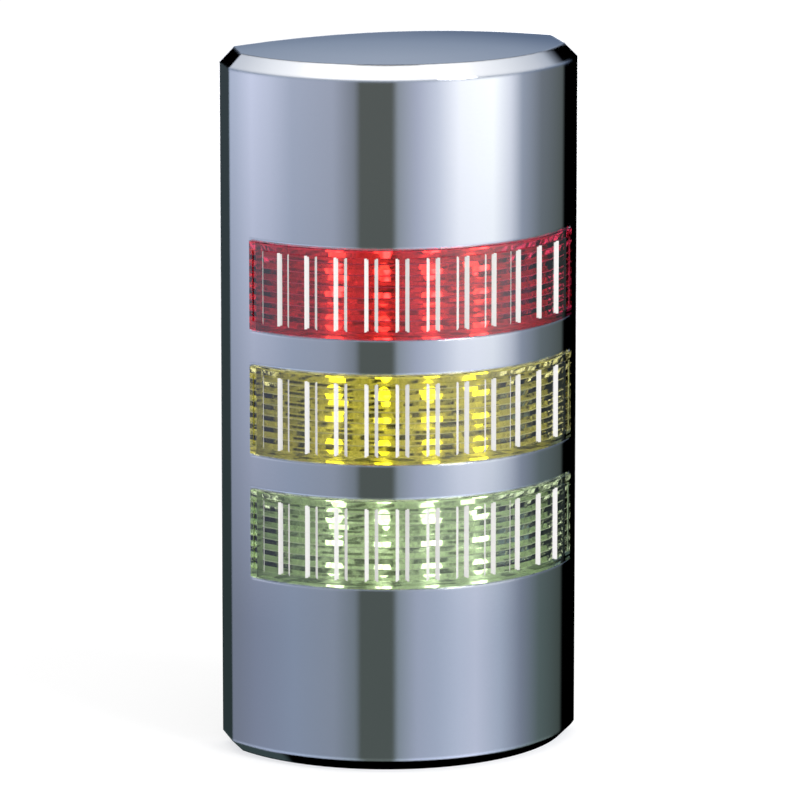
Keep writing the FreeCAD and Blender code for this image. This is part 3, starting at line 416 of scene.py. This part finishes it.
# FLOOR. A sheet of plain white paper under the part that takes its soft shadow. Bright plating
# would show it as a hard line, so it stays out of reflections.

foot = cad_box[0][2]
paper_glow = 0.58
white_light = (1.0, 1.0, 1.0, 1.0)

bpy.ops.mesh.primitive_plane_add(size=8.0, location=(0.0, 0.0, foot))
floor = bpy.context.object
floor.name = "floor"
floor.visible_glossy = False
finish, tree, place = new_finish("Pale floor")
seen = add(tree, "LightPath")
direct = reckon(tree, "MAXIMUM", seen.outputs["Is Camera Ray"], seen.outputs["Is Transmission Ray"])
close_finish(tree, add(tree, "BsdfPrincipled", {
    "Base Color": (0.45, 0.45, 0.45, 1.0),
    "Roughness": 0.9,
    "Specular IOR Level": 0.0,
    "Emission Color": white_light,
    "Emission Strength": reckon(tree, "MULTIPLY", direct, paper_glow),
}))
floor.data.materials.append(finish)


# STUDIO SCREEN. The curved surround that bright plating shows: pale cloth, dark flags and a
# softbox to the right. It is seen only in reflections, and turns with the camera.

camera_turn = math.radians(-13.46)
black = (0.0, 0.0, 0.0)
white = (1.0, 1.0, 1.0)
glare = (2.6, 2.6, 2.7)

bpy.ops.mesh.primitive_cylinder_add(vertices=128, radius=3.0, depth=14.0, location=(0.0, 0.0, 0.0))
screen = bpy.context.object
screen.name = "studio_screen"
screen.visible_camera = False
screen.visible_diffuse = False
screen.visible_shadow = False
finish, tree, place = new_finish("Studio screen")
screen_axes = add(tree, "SeparateXYZ", {"Vector": place})
height = screen_axes.outputs["Z"]
forward = reckon(tree, "MULTIPLY", screen_axes.outputs["Y"], -1.0)
around = reckon(tree, "ARCTAN2", screen_axes.outputs["X"], forward)
share = fade(tree, reckon(tree, "SUBTRACT", around, camera_turn), -math.pi, math.pi)


def ramp(tree, position, stops):
    """A row of colours, each at its own place, blended evenly from one to the next."""
    made = add(tree, "ValToRGB", {"Fac": position})
    while len(made.color_ramp.elements) < len(stops):
        made.color_ramp.elements.new(1.0)
    for element, (place_on, shade) in zip(made.color_ramp.elements, stops):
        element.position = place_on
        element.color = (*shade, 1.0)
    return made.outputs["Color"]


def by_angle(stops):
    """Stops given in degrees to the right of the camera, as shares of a full turn."""
    return [(0.5 + angle / 360.0, shade) for angle, shade in stops]


# What the top of the upright front shows.
high_band = ramp(tree, share, by_angle([
    (-180, glare), (-166, glare), (-163, (0.03, 0.04, 0.045)), (-122, (0.05, 0.07, 0.08)),
    (-112, (0.34, 0.40, 0.52)), (-88, (0.60, 0.64, 0.80)), (-74, (0.52, 0.56, 0.70)),
    (-58, (0.37, 0.41, 0.52)), (-32, (0.33, 0.36, 0.45)), (-19, (0.19, 0.21, 0.25)),
    (-15.5, (0.088, 0.098, 0.093)), (3.5, (0.088, 0.098, 0.093)), (6.5, (0.25, 0.28, 0.32)),
    (18, (0.39, 0.42, 0.53)), (30, (0.60, 0.64, 0.75)), (44, (1.0, 1.02, 1.08)),
    (66, (1.10, 1.13, 1.15)), (79, (0.72, 0.75, 0.84)), (88, (0.30, 0.34, 0.42)),
    (105, (0.15, 0.17, 0.20)), (129, (0.085, 0.10, 0.10)), (133, black), (163, black),
    (166, glare), (180, glare),
]))

# What its foot shows, a darker stretch of the same cloth.
low_band = ramp(tree, share, by_angle([
    (-180, black), (-163, (0.02, 0.03, 0.03)), (-122, (0.03, 0.045, 0.05)),
    (-112, (0.15, 0.17, 0.22)), (-86, (0.19, 0.22, 0.30)), (-58, (0.215, 0.26, 0.35)),
    (-32, (0.21, 0.245, 0.31)), (-19, (0.15, 0.18, 0.21)), (-15.5, (0.07, 0.085, 0.08)),
    (3.5, (0.07, 0.085, 0.08)), (6.5, (0.20, 0.24, 0.28)), (18, (0.31, 0.35, 0.45)),
    (30, (0.34, 0.39, 0.50)), (44, (0.42, 0.47, 0.59)), (55, (0.46, 0.50, 0.62)),
    (72, (0.33, 0.38, 0.48)), (88, (0.17, 0.20, 0.26)), (105, (0.08, 0.11, 0.11)),
    (129, (0.045, 0.06, 0.055)), (133, black), (180, black),
]))

walls = blend(tree, fade(tree, height, -0.78, -0.36), low_band, high_band)

# Below that the cloth is brighter, so that the front isn't black when it is seen from further up.
ledge = blend(tree, 1.0, low_band, (2.4, 2.4, 2.4, 1.0), "MULTIPLY")
walls = blend(tree, fade(tree, height, -1.05, -0.90, 1.0, 0.0), walls, ledge)
skirt = blend(tree, 1.0, low_band, (1.6, 1.6, 1.6, 1.0), "MULTIPLY")
walls = blend(tree, fade(tree, height, -1.95, -1.65, 1.0, 0.0), walls, skirt)

# The pale upper wall and ceiling that the dome and the top chamfer show.
upper = ramp(tree, fade(tree, height, 0.6, 7.0), [
    (0.0, (0.11, 0.15, 0.23)), (0.048, (0.22, 0.27, 0.36)), (0.106, (0.30, 0.35, 0.44)),
    (0.18, (0.38, 0.42, 0.49)), (0.266, (0.54, 0.57, 0.63)), (0.50, (0.80, 0.82, 0.86)),
    (0.78, (1.0, 1.0, 1.02)), (1.0, (1.25, 1.25, 1.25)),
])

# Black flags on both sides of the rear, up to a height of 1.6 metres.
flags = ramp(tree, share, by_angle([
    (-180, white), (-164, white), (-162, black), (-142, black), (-138, white), (136, white),
    (146, black), (162, black), (164, white), (180, white),
]))
flagged = blend(tree, fade(tree, height, 1.6, 2.0), flags, white_light)
upper = blend(tree, 1.0, upper, flagged, "MULTIPLY")

# Straight behind the part the wall is dark above 1.5 metres.
rear = ramp(tree, share, by_angle([
    (-180, black), (-160, black), (-156, white), (156, white), (160, black), (180, black),
]))
behind_wall = fade(tree, height, 1.40, 1.55, 1.0, 0.06)
shaded = blend(tree, rear, behind_wall, white_light)
upper = blend(tree, 1.0, upper, shaded, "MULTIPLY")

whole = blend(tree, fade(tree, height, 0.0, 0.3), walls, upper)
surround = blend(tree, fade(tree, height, -4.4, -4.0), (*black, 1.0), whole)
close_finish(tree, add(tree, "Emission", {"Color": surround, "Strength": 1.15}))
screen.data.materials.append(finish)


# LIGHT AND CAMERA. An even white surround lights the part, with one round softbox to the right of
# the camera for the soft shadow. The camera is a long lens a little above and to the left.

camera_tilt = math.radians(11.89)
camera_distance = 1.4
aim = Vector((0.0, -0.018, 0.0))
aim_right = -0.00257
aim_up = 0.001

world = bpy.data.worlds.new("Studio")
bpy.context.scene.world = world
world.use_nodes = True
tree = world.node_tree
tree.nodes.clear()
glossy = add(tree, "LightPath").outputs["Is Glossy Ray"]
backdrop = add(tree, "Background", {
    "Color": white_light, "Strength": fade(tree, glossy, 0.0, 1.0, 1.0, 1.25)})
add(tree, "OutputWorld", {"Surface": backdrop.outputs[0]})

softbox = bpy.data.lights.new("key_lamp", "AREA")
softbox.shape = "DISK"
softbox.size = 0.8
softbox.energy = 14.0
key_lamp = bpy.data.objects.new("key_lamp", softbox)
key_lamp.location = (0.9, -1.3, 1.3)
key_lamp.rotation_euler = (-key_lamp.location).to_track_quat("-Z", "Y").to_euler()
bpy.context.scene.collection.objects.link(key_lamp)

camera_data = bpy.data.cameras.new("Camera")
camera_data.lens = 281.2
camera_data.sensor_width = 36.0
camera = bpy.data.objects.new("Camera", camera_data)
towards = Vector((math.sin(camera_turn) * math.cos(camera_tilt),
                  -math.cos(camera_turn) * math.cos(camera_tilt), math.sin(camera_tilt)))
right = Vector((math.cos(camera_turn), math.sin(camera_turn), 0.0))
upward = towards.cross(right)
middle = aim + right * aim_right + upward * aim_up
camera.location = middle + towards * camera_distance
camera.rotation_euler = (-towards).to_track_quat("-Z", "Y").to_euler()
bpy.context.scene.collection.objects.link(camera)
bpy.context.scene.camera = camera
bpy.context.scene.view_settings.view_transform = "Standard"
